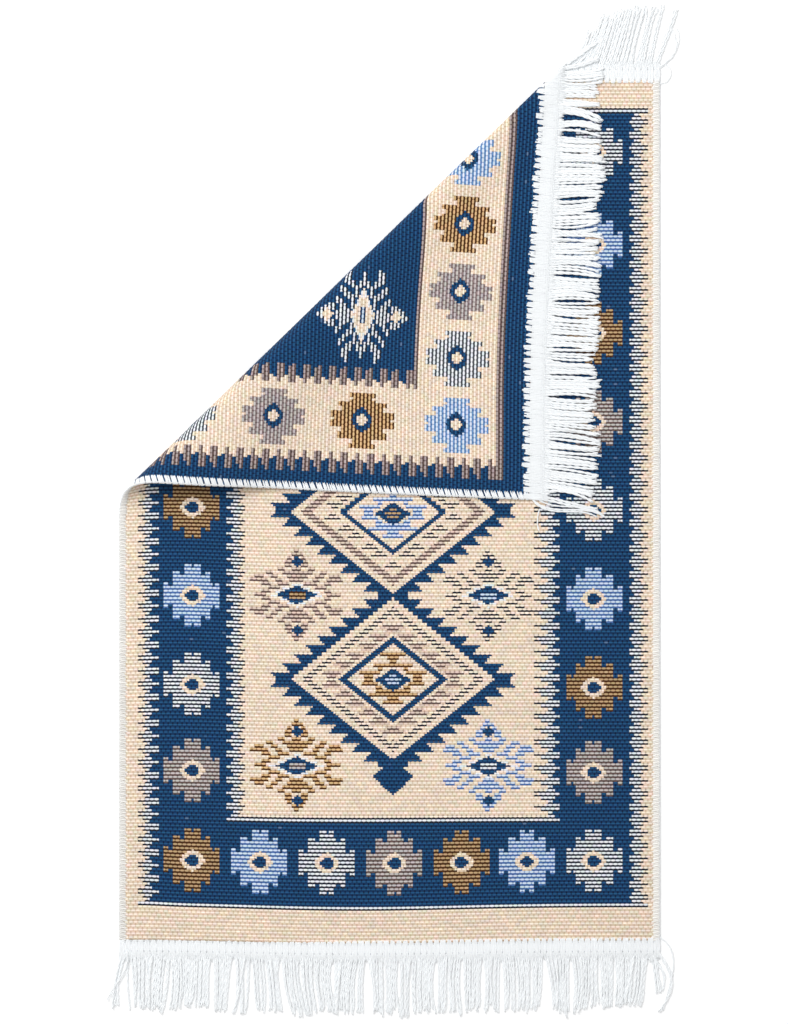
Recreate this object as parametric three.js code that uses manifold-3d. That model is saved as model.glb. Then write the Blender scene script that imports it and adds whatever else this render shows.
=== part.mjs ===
// A flat-woven rug that lies face up, with its upper left part folded over so that the back shows.
// The pieces are drawn flat in rug coordinates and then folded: s runs across the rug from its left
// edge, t runs along it from its bottom end, and h is the height over the middle of the cloth.
// Millimetres, +Z up, the floor at z = 0.

import * as THREE from "three";
import { mergeVertices } from "three/addons/utils/BufferGeometryUtils.js";
import Module from "manifold-3d";

// Driving dimensions of the flat rug
const rugWidth = 600;
const clothLength = 953;
const clothThickness = 3;
const sergingWidth = 9;
const sergingHeight = 3.6;
const headingWidth = 18;
const headingHeight = 3.2;
const sewingGap = 0.3;

// Driving dimensions of the fold
const foldStart = 454; // on the left edge, from the bottom end
const foldAngle = THREE.MathUtils.degToRad(46);
const rollRadius = 25; // at the left edge
const rollTaper = 0.0298; // radius lost per millimetre along the fold
const rollFlatness = 0.75; // height of the roll over its width
const settleReach = 6; // roll radii that the folded part takes to come down
const flapRise = 4.2; // middle of the folded part over the middle of the cloth under it
const skewShift = 7; // the folded part creeps along the fold by this much
const skewReach = 135;
const skewRate = 0.05;

// Driving dimensions of the fringe strands
const strandPitch = 4.1;
const strandWidth = 2.6;
const strandHeight = 2;
const rootDepth = 3; // of a strand inside its heading
const rootLift = 0.2; // of a strand's root over its heading's underside
const dropShare = 0.14; // of a strand's length, in which it comes down to where it rests
const strandShares = [0, dropShare, 0.42, 0.72, 1]; // of its length, at which it may bend
const headingRoom = 0.4; // between a heading and a strand that lies over it

// What a strand's underside rests at
const onFloor = 0;
const onStrands = strandHeight + sewingGap;
const onCloth = clothThickness + sewingGap;
const onHeading = headingHeight + headingRoom;

// Locks of the bottom fringe, from the left: each ends at "to" on the heading, aims at an angle
// from +X, draws its tips together by a share and bows sideways by some millimetres.
const bottomLocks = [
  { to: 9, aim: -99, gather: 0, bow: -2, length: 55, rest: onFloor },
  { to: 52, aim: -91, gather: 0.25, bow: 0, length: 57, rest: onFloor },
  { to: 69, aim: -94, gather: 0, bow: 2, length: 60, rest: onFloor },
  { to: 103, aim: -93, gather: 0.1, bow: 0, length: 55, rest: onFloor },
  { to: 127, aim: -94, gather: 0.14, bow: 1, length: 58, rest: onFloor },
  { to: 146, aim: -92, gather: 0.24, bow: -1, length: 61, rest: onFloor },
  { to: 159, aim: -87, gather: 0, bow: 0, length: 59, rest: onFloor },
  { to: 179, aim: -85, gather: 0.05, bow: 0, length: 60, rest: onFloor },
  { to: 200, aim: -82, gather: 0.1, bow: -2, length: 63, rest: onFloor },
  { to: 238, aim: -85, gather: 0.15, bow: -2, length: 60, rest: onFloor },
  { to: 274, aim: -90, gather: 0.19, bow: -1, length: 62, rest: onFloor },
  { to: 287, aim: -87, gather: 0.24, bow: 0, length: 59, rest: onFloor },
  { to: 325, aim: -89, gather: 0.15, bow: 0, length: 61, rest: onFloor },
  { to: 380, aim: -90, gather: 0.07, bow: -1, length: 60, rest: onFloor },
  { to: 423, aim: -90, gather: 0.12, bow: 0, length: 59, rest: onFloor },
  { to: 470, aim: -90, gather: 0.12, bow: 1, length: 58, rest: onFloor },
  { to: 488, aim: -84, gather: 0.24, bow: 0, length: 58, rest: onFloor },
  { to: 500, aim: -90, gather: 0.24, bow: -1, length: 63, rest: onFloor },
  { to: 521, aim: -90, gather: 0, bow: 2, length: 59, rest: onFloor },
  { to: 548, aim: -88, gather: 0.12, bow: 1, length: 55, rest: onFloor },
  { to: 560, aim: -87, gather: 0.1, bow: 0, length: 56, rest: onFloor },
  { to: 588, aim: -93, gather: 0.24, bow: 0, length: 54, rest: onFloor },
  { to: 596, aim: -82, gather: 0, bow: 2, length: 42, rest: onFloor },
  { to: 600, aim: -89, gather: 0, bow: 13, length: 62, rest: onFloor },
];

// Locks of the top fringe, from the corner that is folded over: first those that lie on the rug,
// then those of the fold, and last those that lie on the floor past the top end.
const topLocks = [
  { to: 6, aim: -17, gather: 0, bow: 0, length: 76, rest: onCloth },
  { to: 14, aim: -4, gather: 0.2, bow: 4, length: 60, rest: onCloth },
  { to: 24, aim: -9, gather: 0.25, bow: 2, length: 58, rest: onCloth },
  { to: 31, aim: -7, gather: 0, bow: 1, length: 62, rest: onCloth },
  { to: 39, aim: -8, gather: 0.1, bow: 0, length: 64, rest: onCloth },
  { to: 67, aim: -5, gather: 0.05, bow: 0, length: 65, rest: onCloth },
  { to: 80, aim: -8, gather: 0.1, bow: 0, length: 64, rest: onCloth },
  { to: 90, aim: -5, gather: 0.15, bow: 1, length: 60, rest: onCloth },
  { to: 108, aim: -4, gather: 0.1, bow: 0, length: 58, rest: onCloth },
  { to: 118, aim: -3, gather: 0.1, bow: 0, length: 58, rest: onCloth },
  { to: 140, aim: -2, gather: 0.08, bow: 1, length: 62, rest: onCloth },
  { to: 153, aim: -4, gather: 0.2, bow: 1, length: 60, rest: onCloth },
  { to: 171, aim: -2, gather: 0.12, bow: -1, length: 58, rest: onCloth },
  { to: 201, aim: -3, gather: 0.06, bow: 0, length: 60, rest: onCloth },
  { to: 213, aim: -4, gather: 0.15, bow: 0, length: 61, rest: onCloth },
  { to: 225, aim: -1, gather: 0.1, bow: -1, length: 60, rest: onCloth },
  { to: 243, aim: 0, gather: 0.1, bow: 1, length: 60, rest: onCloth },
  { to: 265, aim: -5, gather: 0.05, bow: 2, length: 61, rest: onCloth },
  { to: 272, aim: -4, gather: 0.2, bow: 1, length: 58, rest: onCloth },
  { to: 281, aim: 0, gather: 0.1, bow: 0, length: 56, rest: onCloth },
  { to: 302, aim: 0, gather: 0.08, bow: 0, length: 58, rest: onCloth },
  { to: 323, aim: 2, gather: 0.1, bow: -1, length: 55, rest: onCloth },
  { to: 339, aim: 5, gather: 0.1, bow: -3, length: 54, rest: onCloth },
  { to: 355, aim: 1, gather: 0.1, bow: 0, length: 56, rest: onCloth },
  { to: 380, aim: 0, gather: 0.06, bow: 0, length: 57, rest: onCloth },
  { to: 390, aim: -1, gather: 0.2, bow: 1, length: 55, rest: onCloth },
  { to: 408, aim: -2, gather: 0.1, bow: 0, length: 52, rest: onCloth },
  { to: 424, aim: -7, gather: 0.1, bow: 1, length: 52, rest: onCloth },
  { to: 440, aim: -11, gather: 0.25, bow: 3, length: 50, rest: onCloth },
  { to: 449, aim: -5, gather: 0.2, bow: 1, length: 46, rest: onCloth },
  { to: 466, aim: 0, gather: 0.06, bow: 0, length: 44, rest: onCloth },
  { to: 484, aim: 3, gather: 0.1, bow: 0, length: 46, rest: onHeading },
  { to: 488, aim: 13, gather: 0, bow: 0, length: 44, rest: onHeading },
  { to: 493, aim: 36, gather: 0, bow: 0, length: 42, rest: onStrands },
  { to: 512, aim: 59, gather: 0, bow: -4, length: 43, rest: onFloor },
  { to: 530, aim: 71, gather: 0.1, bow: -1, length: 57, rest: onFloor },
  { to: 552, aim: 74, gather: 0.12, bow: 0, length: 63, rest: onFloor },
  { to: 572, aim: 75, gather: 0.12, bow: 0, length: 65, rest: onFloor },
  { to: 590, aim: 76, gather: 0.15, bow: 1, length: 64, rest: onFloor },
  { to: 597, aim: 70, gather: 0, bow: 0, length: 64, rest: onFloor },
  { to: 600, aim: 69, gather: 0, bow: -13, length: 46, rest: onFloor },
];

const colours = { cloth: 0xe9d3b3, serging: 0xeeeae2, fringe: 0xf4f5f7 };
const roughness = { cloth: 0.95, thread: 0.9 };

// Fold lines are straight lines of the flat rug at which the distance past the fold's start is a
// set number of roll radii: twelve steps round the roll, eight down its slope and two on the flat.
const rollSteps = 12;
const slopeSteps = 8;
const farLines = [13, 18];
const foldLines = [
  ...Array.from({ length: rollSteps + 1 }, (_, i) => (Math.PI * i) / rollSteps),
  ...Array.from({ length: slopeSteps }, (_, i) => Math.PI + (settleReach * (i + 1)) / slopeSteps),
  ...farLines,
];

// How far a point of the flat rug lies along the fold and past its start
function alongFold(s, t) {
  return s * Math.cos(foldAngle) + (t - foldStart) * Math.sin(foldAngle);
}

function pastFold(s, t) {
  return (t - foldStart) * Math.cos(foldAngle) - s * Math.sin(foldAngle);
}

function radiusAt(along) {
  return rollRadius - rollTaper * along;
}

// The folded place of the middle of the cloth
function foldedMiddle(s, t) {
  const along = alongFold(s, t);
  const past = pastFold(s, t);
  const middle = clothThickness / 2;
  if (past <= 0) {
    return new THREE.Vector3(s, t, middle);
  }
  const radius = radiusAt(along);
  const onFlap = past - Math.PI * radius;
  let across = radius * Math.sin(past / radius);
  let height = rollFlatness * radius * (1 - Math.cos(past / radius));
  if (onFlap > 0) {
    const reach = settleReach * radius;
    const fall = 2 * rollFlatness * radius - flapRise;
    const x = Math.min(onFlap, reach);
    const steepness = (fall * Math.PI) / (2 * reach);
    const wave = (reach * Math.sin((2 * Math.PI * x) / reach)) / (4 * Math.PI);
    const shortening = (steepness ** 2 / 2) * (x / 2 - wave);
    across = shortening - onFlap;
    height = flapRise + (fall * (1 + Math.cos((Math.PI * x) / reach))) / 2;
  }
  const creep = -skewShift * (1 - Math.exp(-((past / skewReach) ** 2))) - skewRate * Math.max(0, onFlap);
  return new THREE.Vector3(
    (along + creep) * Math.cos(foldAngle) - across * Math.sin(foldAngle),
    foldStart + (along + creep) * Math.sin(foldAngle) + across * Math.cos(foldAngle),
    middle + height,
  );
}

const normalStep = 0.01; // to either side of a point, for the direction square to the cloth

// The folded place of a point at height h over the middle of the cloth
function folded(s, t, h) {
  const acrossRug = foldedMiddle(s + normalStep, t).sub(foldedMiddle(s - normalStep, t));
  const alongRug = foldedMiddle(s, t + normalStep).sub(foldedMiddle(s, t - normalStep));
  const normal = acrossRug.cross(alongRug).normalize();
  return foldedMiddle(s, t).addScaledVector(normal, h);
}

// Cuts a convex outline of the flat rug along one fold line
function splitAt(outline, line) {
  const side = (p) => pastFold(p.x, p.y) - line * radiusAt(alongFold(p.x, p.y));
  const before = [];
  const after = [];
  outline.forEach((p, i) => {
    const next = outline[(i + 1) % outline.length];
    const here = side(p);
    const there = side(next);
    (here <= 0 ? before : after).push(p);
    if (here * there < 0) {
      const cut = p.clone().lerp(next, here / (here - there));
      before.push(cut);
      after.push(cut);
    }
  });
  return [before, after];
}

// Gathers shared corners and triangles of a closed shape
class Shell {
  constructor() {
    this.points = [];
    this.triangles = [];
  }

  add(point) {
    this.points.push(point);
    return this.points.length - 1;
  }

  face(...corners) {
    for (let i = 2; i < corners.length; i += 1) {
      this.triangles.push(corners[0], corners[i - 1], corners[i]);
    }
  }

  geometry() {
    const geometry = new THREE.BufferGeometry();
    const positions = this.points.flatMap((p) => [p.x, p.y, p.z]);
    geometry.setAttribute("position", new THREE.Float32BufferAttribute(positions, 3));
    geometry.setIndex(this.triangles);
    return geometry;
  }
}

const keyDigits = 5; // to which shared corners agree

// A flat rectangle of the rug between two heights, cut along the fold lines and folded
function foldedSheet(left, bottom, right, top, low, high) {
  let rest = [
    new THREE.Vector2(left, bottom),
    new THREE.Vector2(right, bottom),
    new THREE.Vector2(right, top),
    new THREE.Vector2(left, top),
  ];
  const strips = [];
  for (const line of foldLines) {
    const [before, after] = splitAt(rest, line);
    if (before.length > 2) {
      strips.push(before);
    }
    rest = after;
    if (rest.length < 3) {
      break;
    }
  }
  if (rest.length > 2) {
    strips.push(rest);
  }

  const shell = new Shell();
  const known = new Map();
  const cornerAt = (p) => {
    const key = `${p.x.toFixed(keyDigits)} ${p.y.toFixed(keyDigits)}`;
    if (!known.has(key)) {
      const over = shell.add(folded(p.x, p.y, high));
      const under = shell.add(folded(p.x, p.y, low));
      known.set(key, { over, under });
    }
    return known.get(key);
  };
  const rims = new Map();
  for (const strip of strips) {
    const corners = strip.map(cornerAt);
    shell.face(...corners.map((c) => c.over));
    const under = corners.map((c) => c.under).reverse();
    shell.face(under.at(-1), ...under.slice(0, -1));
    corners.forEach((a, i) => {
      const b = corners[(i + 1) % corners.length];
      const back = `${b.over} ${a.over}`;
      if (rims.has(back)) {
        rims.delete(back);
      } else {
        rims.set(`${a.over} ${b.over}`, [a, b]);
      }
    });
  }
  for (const [a, b] of rims.values()) {
    shell.face(a.under, b.under, b.over, a.over);
  }
  return shell.geometry();
}

// Places on a side edge at which it crosses the fold lines, and its two ends
function stopsAlong(s) {
  const stops = [0];
  for (const line of foldLines) {
    const rise = line * rollRadius - line * rollTaper * s * Math.cos(foldAngle) + s * Math.sin(foldAngle);
    const t = foldStart + rise / (Math.cos(foldAngle) + line * rollTaper * Math.sin(foldAngle));
    if (t < clothLength) {
      stops.push(t);
    }
  }
  return [...stops, clothLength];
}

// The overcast edge: a bead of eight sides along a side of the cloth
function sergingGeometry(middle, stops) {
  const sides = 8;
  const flatOut = 1 / Math.cos(Math.PI / sides);
  const halfWidth = ((sergingWidth - sewingGap) / 2) * flatOut;
  const halfHeight = (sergingHeight / 2) * flatOut;
  const lift = (sergingHeight - clothThickness) / 2;
  const shell = new Shell();
  const rings = stops.map((t) =>
    Array.from({ length: sides }, (_, i) => {
      const angle = ((i + 0.5) * 2 * Math.PI) / sides;
      const s = middle + halfWidth * Math.cos(angle);
      return shell.add(folded(s, t, lift + halfHeight * Math.sin(angle)));
    }),
  );
  rings.slice(1).forEach((ring, k) => {
    const last = rings[k];
    ring.forEach((_, i) => {
      const j = (i + 1) % sides;
      shell.face(last[j], last[i], ring[i], ring[j]);
    });
  });
  shell.face(...rings[0]);
  shell.face(...rings.at(-1).toReversed());
  return shell.geometry();
}

// One strand: three sides, its flat side down, from inside the heading out to its tip
function strandGeometry(root, aim, sideways, bow, length, rest) {
  const ahead = new THREE.Vector2(Math.cos(aim), Math.sin(aim));
  const aside = new THREE.Vector2(-ahead.y, ahead.x);
  const fullLength = length + rootDepth;
  const centre = (share) => {
    const drift = sideways * share ** 2 + bow * Math.sin(Math.PI * share);
    return new THREE.Vector2(root.x, root.y)
      .addScaledVector(ahead, fullLength * share)
      .addScaledVector(aside, drift);
  };
  const shell = new Shell();
  const rings = strandShares.map((share, k) => {
    const to = centre(strandShares[Math.min(k + 1, strandShares.length - 1)]);
    const heading = to.sub(centre(strandShares[Math.max(k - 1, 0)])).normalize();
    const across = new THREE.Vector2(-heading.y, heading.x).multiplyScalar(strandWidth / 2);
    const middle = centre(share);
    const bottom = k === 0 ? root.z - headingHeight / 2 + rootLift : rest;
    return [
      shell.add(new THREE.Vector3(middle.x + across.x, middle.y + across.y, bottom)),
      shell.add(new THREE.Vector3(middle.x - across.x, middle.y - across.y, bottom)),
      shell.add(new THREE.Vector3(middle.x, middle.y, bottom + strandHeight)),
    ];
  });
  rings.slice(1).forEach((ring, k) => {
    const last = rings[k];
    ring.forEach((_, i) => {
      const j = (i + 1) % ring.length;
      shell.face(last[j], last[i], ring[i], ring[j]);
    });
  });
  shell.face(...rings[0]);
  shell.face(...rings.at(-1).toReversed());
  return shell.geometry();
}

// All strands of one fringe: rootT is where they leave the middle of their heading
function strandGeometries(locks, rootT) {
  const lift = (headingHeight - clothThickness) / 2;
  const strands = [];
  let from = 0;
  for (const lock of locks) {
    const count = Math.max(1, Math.round((lock.to - from) / strandPitch));
    const aim = THREE.MathUtils.degToRad(lock.aim);
    const aside = new THREE.Vector2(-Math.sin(aim), Math.cos(aim));
    const pitch = (lock.to - from) / count;
    const roots = Array.from({ length: count }, (_, i) => folded(from + pitch * (i + 0.5), rootT, lift));
    const lockMiddle = roots
      .reduce((sum, root) => sum.add(root), new THREE.Vector3())
      .divideScalar(count);
    for (const root of roots) {
      const offset = new THREE.Vector2(root.x - lockMiddle.x, root.y - lockMiddle.y).dot(aside);
      strands.push(strandGeometry(root, aim, -offset * lock.gather, lock.bow, lock.length, lock.rest));
    }
    from = lock.to;
  }
  return strands;
}

const sliver = 0.003; // size under which an edge left by fusing is closed up

const wasm = await Module();
wasm.setup();

function toSolid(geometry) {
  const merged = mergeVertices(geometry);
  return new wasm.Manifold(
    new wasm.Mesh({
      numProp: 3,
      vertProperties: merged.attributes.position.array,
      triVerts: Uint32Array.from(merged.index.array),
    }),
  );
}

// A heading with its strands fused to it
function fringeGeometry(bottom, top, locks, rootT) {
  const lift = (headingHeight - clothThickness) / 2;
  const half = headingHeight / 2;
  let solid = toSolid(foldedSheet(0, bottom, rugWidth, top, lift - half, lift + half));
  for (const strand of strandGeometries(locks, rootT)) {
    solid = solid.add(toSolid(strand));
  }
  const mesh = solid.simplify(sliver).getMesh();
  const geometry = new THREE.BufferGeometry();
  geometry.setAttribute("position", new THREE.BufferAttribute(mesh.vertProperties, 3));
  geometry.setIndex(new THREE.BufferAttribute(mesh.triVerts, 1));
  return geometry;
}

function piece(name, geometry, color, rough) {
  const material = new THREE.MeshStandardMaterial({ color, roughness: rough, metalness: 0 });
  const mesh = new THREE.Mesh(geometry, material);
  mesh.name = name;
  return mesh;
}

const clothRight = rugWidth - sergingWidth;
const halfCloth = clothThickness / 2;
const beadMiddle = (sergingWidth - sewingGap) / 2;
const headingOuter = sewingGap + headingWidth;
const topOuter = clothLength + headingOuter;

const rug = new THREE.Group();
rug.add(
  piece(
    "woven_cloth",
    foldedSheet(sergingWidth, 0, clothRight, clothLength, -halfCloth, halfCloth),
    colours.cloth,
    roughness.cloth,
  ),
  piece(
    "side_serging_left",
    sergingGeometry(beadMiddle, stopsAlong(sergingWidth)),
    colours.serging,
    roughness.thread,
  ),
  piece(
    "side_serging_right",
    sergingGeometry(rugWidth - beadMiddle, [0, clothLength]),
    colours.serging,
    roughness.thread,
  ),
  piece(
    "fringe_top",
    fringeGeometry(clothLength + sewingGap, topOuter, topLocks, topOuter - rootDepth),
    colours.fringe,
    roughness.thread,
  ),
  piece(
    "fringe_bottom",
    fringeGeometry(-headingOuter, -sewingGap, bottomLocks, rootDepth - headingOuter),
    colours.fringe,
    roughness.thread,
  ),
);

// The origin is on the floor under the middle of the whole rug
const centre = new THREE.Box3().setFromObject(rug).getCenter(new THREE.Vector3());
rug.position.set(-centre.x, -centre.y, 0);

export default rug;
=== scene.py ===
import math
from collections import namedtuple

import bpy
import numpy as np
from bpy.props import FloatProperty, FloatVectorProperty, IntProperty, PointerProperty
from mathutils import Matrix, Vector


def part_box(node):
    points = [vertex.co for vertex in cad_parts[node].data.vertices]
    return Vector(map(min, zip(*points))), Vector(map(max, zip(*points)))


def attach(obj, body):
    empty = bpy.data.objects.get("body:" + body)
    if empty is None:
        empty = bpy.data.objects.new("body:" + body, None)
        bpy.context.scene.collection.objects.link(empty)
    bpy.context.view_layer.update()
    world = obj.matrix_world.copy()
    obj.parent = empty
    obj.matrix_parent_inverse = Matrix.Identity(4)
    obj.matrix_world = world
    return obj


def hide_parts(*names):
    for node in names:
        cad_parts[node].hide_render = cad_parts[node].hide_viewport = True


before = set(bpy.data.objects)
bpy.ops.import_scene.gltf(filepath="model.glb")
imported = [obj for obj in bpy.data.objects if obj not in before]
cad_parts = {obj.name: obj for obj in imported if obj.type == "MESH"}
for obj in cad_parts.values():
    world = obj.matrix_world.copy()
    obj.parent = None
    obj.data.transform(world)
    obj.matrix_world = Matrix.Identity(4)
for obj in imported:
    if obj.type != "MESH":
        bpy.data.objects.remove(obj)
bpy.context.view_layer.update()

bl_info = {
    "name": "Folded kilim rug",
    "version": (1, 0, 0),
    "blender": (4, 5, 0),
    "location": "3D View > Sidebar > Kilim",
    "description": "Weaves a small kilim rug with one corner folded over and lays it on a pale floor",
    "category": "Add Mesh",
}

# The frame's box, the flat rug's right edge and its bottom end. The right edge lies flat, so it gives both.
RIGHT_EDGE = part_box("side_serging_right")[1].x
BOTTOM_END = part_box("side_serging_right")[0].y
UP = np.array((0.0, 0.0, 1.0))


def mm(value):
    """Millimetres as metres."""
    return value / 1000


def normalised(directions):
    """The same directions, of length one."""
    return directions / np.linalg.norm(directions, axis=-1, keepdims=True)


def shade(red, green, blue):
    """A colour as it looks on a screen, from 0 to 255, as the linear one that Blender mixes."""
    levels = [value / 255 for value in (red, green, blue)]
    return tuple(v / 12.92 if v <= 0.04045 else ((v + 0.055) / 1.055) ** 2.4 for v in levels)


def size_property(name, description, value):
    return FloatProperty(name=name, description=description, default=value, unit="LENGTH", precision=4)


def number_property(name, description, value, unit="NONE"):
    return FloatProperty(name=name, description=description, default=value, unit=unit)


def colour_property(name, description, value):
    return FloatVectorProperty(
        name=name, description=description, default=value, size=3, min=0, max=1, subtype="COLOR"
    )


class KILIM_PG_cloth(bpy.types.PropertyGroup):
    """Sizes of the flat cloth, and how it is folded."""

    width: size_property("Width", "Width of the rug over its thread edges", mm(600))
    length: size_property("Length", "Length of the cloth without its fringes", mm(953))
    thickness: size_property("Thickness", "Thickness of the cloth at its ribs", mm(3))
    edge_width: size_property("Edge width", "Width of the thread edge", mm(9))
    rib_depth: size_property("Rib depth", "Depth of the furrow between two ribs", mm(0.25))
    ribs: IntProperty(name="Ribs", description="Ribs from end to end", default=233, min=3)
    columns: IntProperty(name="Columns", description="Floats of a rib from side to side", default=116, min=4)
    fold_start: size_property("Fold start", "Where the fold leaves the left edge", mm(454))
    fold_angle: number_property(
        "Fold angle", "Angle of the fold to the bottom end", math.radians(46), "ROTATION"
    )
    roll_radius: size_property("Roll radius", "Radius of the fold at the left edge", mm(25))
    roll_taper: number_property("Roll taper", "Radius lost for each unit along the fold", 0.0298)
    roll_flatness: number_property("Roll flatness", "Height of the roll over its width", 0.75)
    settle_reach: number_property("Settling", "Roll radii that the folded part takes to come down", 6)
    flap_rise: size_property("Flap rise", "Middle of the folded part over the cloth below", mm(4.2))
    skew_shift: size_property("Skew", "How far the folded part creeps along the fold", mm(7))
    skew_reach: size_property("Skew reach", "How soon it does so", mm(135))
    skew_rate: number_property("Skew rate", "Creep for each unit past the roll", 0.05)


class KILIM_PG_colours(bpy.types.PropertyGroup):
    """Colours of the yarns: of each pair, the pick that stands up and the one between. For cream and navy,
    the one between is the same yarn, darkened as painted shade.
    """

    cream: colour_property("Cream", "Light cream yarn", shade(249, 235, 219))
    # The low cream is painted shade: the same cream yarn, darker where it lies in the furrows.
    cream_shaded: colour_property("Cream, low", "Cream yarn in the furrows", shade(226, 205, 182))
    navy: colour_property("Navy", "Navy yarn", shade(30, 82, 126))
    # The low navy is painted shade: the same navy yarn, darker where it lies in the furrows.
    navy_shaded: colour_property("Navy, low", "Navy yarn in the furrows", shade(12, 52, 94))
    gold: colour_property("Gold", "Gold yarn", shade(190, 160, 120))
    gold_pale: colour_property("Gold, pale", "Gold yarn on cream", shade(220, 184, 136))
    gold_low: colour_property("Gold, low", "Brown yarn that goes with the gold", shade(78, 44, 16))
    blue: colour_property("Light blue", "Light blue yarn", shade(206, 222, 240))
    blue_pale: colour_property("Light blue, pale", "Light blue yarn on cream", shade(216, 226, 242))
    blue_low: colour_property("Light blue, low", "Mid blue yarn that goes with it", shade(74, 112, 170))
    taupe: colour_property("Taupe", "Pale yarn that goes with the taupe", shade(196, 190, 188))
    taupe_pale: colour_property("Taupe, pale", "Taupe yarn on cream", shade(224, 203, 190))
    taupe_back: colour_property("Taupe, back", "Taupe yarn behind the combs", shade(176, 162, 160))
    taupe_low: colour_property("Taupe, low", "Taupe yarn", shade(104, 84, 80))
    taupe_soft: colour_property("Taupe, soft", "Taupe yarn in the back's furrows", shade(140, 122, 122))
    blue_soft: colour_property(
        "Light blue, soft", "Mid blue yarn in the back's furrows", shade(102, 144, 192)
    )
    white: colour_property("White", "White yarn", shade(234, 238, 243))
    ink: colour_property("Ink", "Darkest yarn", shade(28, 32, 48))
    ink_soft: colour_property("Ink, soft", "Dark yarn in the back's furrows", shade(72, 76, 82))
    thread: colour_property("Edge thread", "Thread over the side edges", shade(255, 252, 246))
    fringe: colour_property("Fringe", "Yarn of the fringes", shade(250, 253, 255))


class KILIM_PG_fringe(bpy.types.PropertyGroup):
    """Sizes of the headings and of their strands."""

    gap: size_property("Gap", "Between the cloth's end and the heading", mm(0.3))
    heading_width: size_property("Heading width", "Width of the stitched heading", mm(18))
    heading_height: size_property("Heading height", "Thickness of the stitched heading", mm(3.2))
    stitch: size_property("Stitch", "Length of one stitch of the heading", mm(7))
    front_cover: size_property("Front cover", "How far the heading covers the front", mm(2.8))
    back_cover: size_property("Back cover", "How far it covers the back", mm(6.2))
    strand_pitch: size_property("Strand pitch", "From one strand to the next", mm(2.5))
    ply_radius: size_property("Ply radius", "Radius of one of a strand's two plies", mm(0.95))
    ply_spread: size_property("Ply spread", "Of a ply's middle from the strand's", mm(0.5))
    root_depth: size_property("Root depth", "Of a strand inside its heading", mm(4))
    twist: size_property("Twist", "Length of a strand in which its plies go round once", mm(17))
    bundle: number_property("Bundle", "Strands that keep together", 4)


class KILIM_PG_edge(bpy.types.PropertyGroup):
    """Sizes of the thread over the side edges."""

    stitch: size_property("Stitch", "Length of one stitch", mm(7.2))
    thread_width: size_property("Thread width", "Width of one thread", mm(1.9))
    slant: size_property("Slant", "How far a stitch leans along the edge", mm(4.2))
    back_reach: size_property("Back reach", "How much further in the stitches go on the back", mm(2.4))
    dull_tone: number_property("Dull tone", "Tone of every other thread", 0.84)
    left_tone: number_property("Left tone", "Tone of the left edge", 0.9)


class KILIM_PG_stage(bpy.types.PropertyGroup):
    """Sizes of the stage."""

    view_height: size_property("View height", "Length of rug and floor that the camera sees", mm(1135.6))
    view_s: size_property("View middle across", "From the rug's left edge", mm(305))
    view_t: size_property("View middle along", "From the rug's bottom end", mm(474.7))
    camera_height: size_property("Camera height", "Camera over the floor", 3.0)
    floor_size: size_property("Floor size", "Side of the square floor", 12.0)
    floor_colour: colour_property("Floor colour", "Colour of the floor", shade(255, 255, 255))
    sky: number_property("Sky", "Strength of the even light", 0.65)
    lamp: number_property("Lamp", "Power of the soft lamp", 58, "POWER")


# Where the ribs bow up or, below zero, down, in millimetres from the lower left corner
Bow = namedtuple("Bow", "across along reach_across reach_along rise")
BOWS = (
    Bow(60, 380, 85, 270, 4.2),
    Bow(265, 35, 150, 85, -4.0),
    Bow(22, 75, 35, 60, 2.6),
    Bow(0, 880, 110, 190, 5.0),
)


class Fold:
    """Takes places of the flat rug, s across and t along, to where they lie in the folded one."""

    def __init__(self, cloth):
        self.left = RIGHT_EDGE - cloth.width
        self.cos, self.sin = math.cos(cloth.fold_angle), math.sin(cloth.fold_angle)
        self.cloth = cloth

    def lines(self, s, t):
        """Distance along the fold and past its start, and the roll's radius there."""
        ahead = t - self.cloth.fold_start
        along = s * self.cos + ahead * self.sin
        past = ahead * self.cos - s * self.sin
        return along, past, self.cloth.roll_radius - self.cloth.roll_taper * along

    def bowed(self, s, t):
        """Where a point lies along the flat rug, whose ribs bow a little in a few places."""
        moved = t
        for bow in BOWS:
            across = (s - mm(bow.across)) / mm(bow.reach_across)
            along = (t - mm(bow.along)) / mm(bow.reach_along)
            moved = moved + mm(bow.rise) * np.exp(-(across**2) - along**2)
        return moved

    def middle(self, s, t):
        """The middle of the cloth."""
        cloth = self.cloth
        t = self.bowed(s, t)
        along, past, radius = self.lines(s, t)
        turned = np.maximum(past, 0)
        angle = np.minimum(turned / radius, math.pi)
        on_flap = np.maximum(past - math.pi * radius, 0)
        reach = cloth.settle_reach * radius
        fall = 2 * cloth.roll_flatness * radius - cloth.flap_rise
        run = np.minimum(on_flap, reach)
        steep = fall * math.pi / (2 * reach)
        wave = run / 2 - reach * np.sin(2 * math.pi * run / reach) / (4 * math.pi)
        across = np.where(on_flap > 0, steep**2 / 2 * wave - on_flap, radius * np.sin(angle))
        rolled = cloth.roll_flatness * radius * (1 - np.cos(angle))
        settled = cloth.flap_rise + fall * (1 + np.cos(math.pi * run / reach)) / 2
        height = np.where(on_flap > 0, settled, rolled)
        creep = -cloth.skew_shift * (1 - np.exp(-((turned / cloth.skew_reach) ** 2)))
        along = along + creep - cloth.skew_rate * on_flap
        folded_s = along * self.cos - across * self.sin
        folded_t = cloth.fold_start + along * self.sin + across * self.cos
        flat = past <= 0
        x = self.left + np.where(flat, s, folded_s)
        y = BOTTOM_END + np.where(flat, t, folded_t)
        z = cloth.thickness / 2 + np.where(flat, 0, height)
        return np.stack((x, y, z), axis=-1)

    def place(self, s, t, h):
        """A point at height h over the middle of the cloth."""
        s, t, h = np.broadcast_arrays(s, t, h)
        step = mm(0.01)
        across = self.middle(s + step, t) - self.middle(s - step, t)
        along = self.middle(s, t + step) - self.middle(s, t - step)
        normal = normalised(np.cross(across, along))
        return self.middle(s, t) + normal * h[..., None]


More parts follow.
